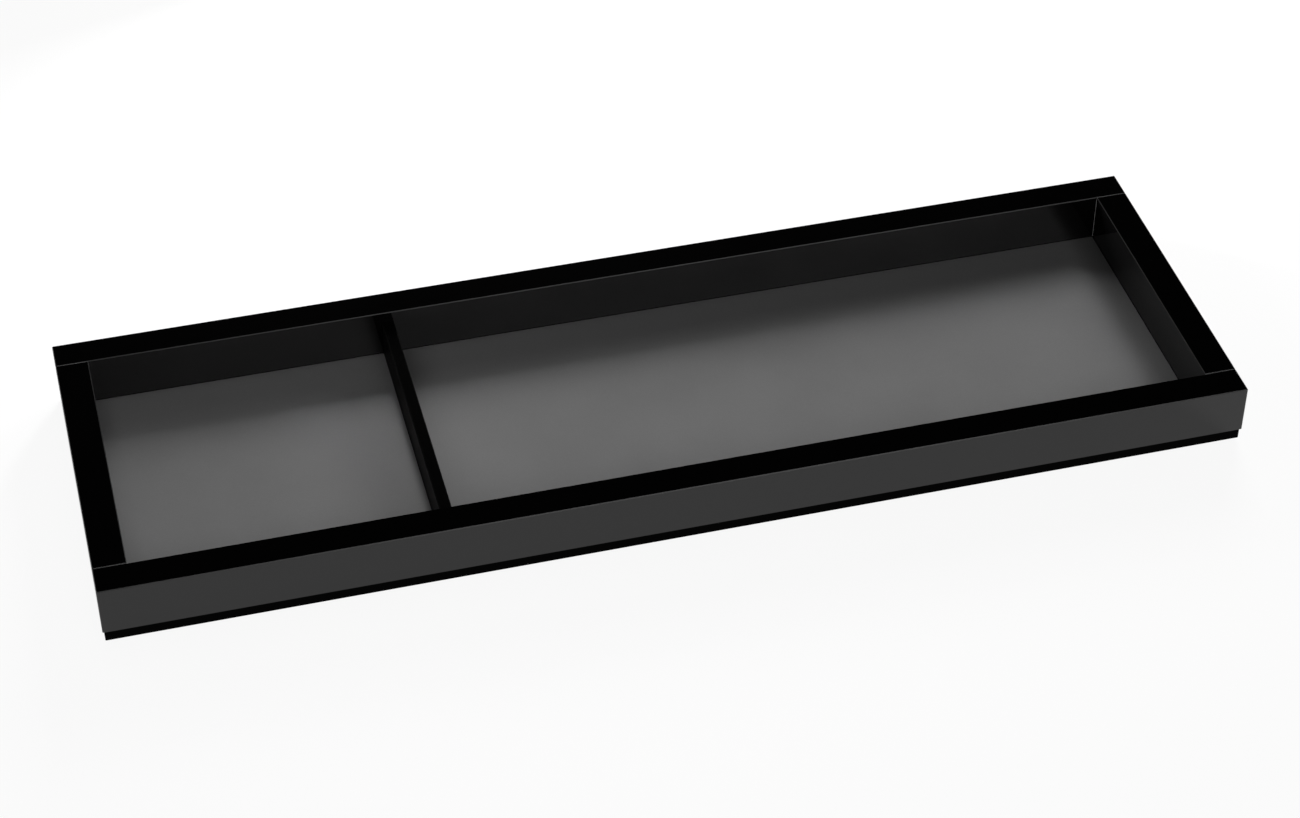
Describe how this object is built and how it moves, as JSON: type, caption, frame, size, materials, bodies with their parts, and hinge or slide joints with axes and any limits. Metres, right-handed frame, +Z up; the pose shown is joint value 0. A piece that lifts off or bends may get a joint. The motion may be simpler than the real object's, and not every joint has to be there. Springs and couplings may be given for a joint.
{
  "type": "pen tray",
  "caption": "Shallow rectangular pen tray: gloss black walls on a base plate, parted by a low cross strip into a square compartment and a long one with satin grey floors.",
  "frame": {"origin": "on the desk, under the middle of the tray", "axes": "+X along the tray, from the square compartment to the long one; -Y is the front; +Z up"},
  "size_m": [0.28, 0.09, 0.0166],
  "materials": {
    "gloss_black_acrylic": "polished gloss",
    "satin_black_acrylic": "satin",
    "satin_grey_sheet": "fine satin",
    "black_rubber": "matte"
  },
  "bodies": {
    "root": {"front_wall": "gloss_black_acrylic", "rear_wall": "gloss_black_acrylic", "left_end_wall": "gloss_black_acrylic", "right_end_wall": "gloss_black_acrylic", "divider": "satin_black_acrylic", "base_plate": "satin_black_acrylic", "short_floor_sheet": "satin_grey_sheet", "long_floor_sheet": "satin_grey_sheet", "pad_front_left": "black_rubber", "pad_front_right": "black_rubber", "pad_rear_left": "black_rubber", "pad_rear_right": "black_rubber"}
  },
  "joints": []
}
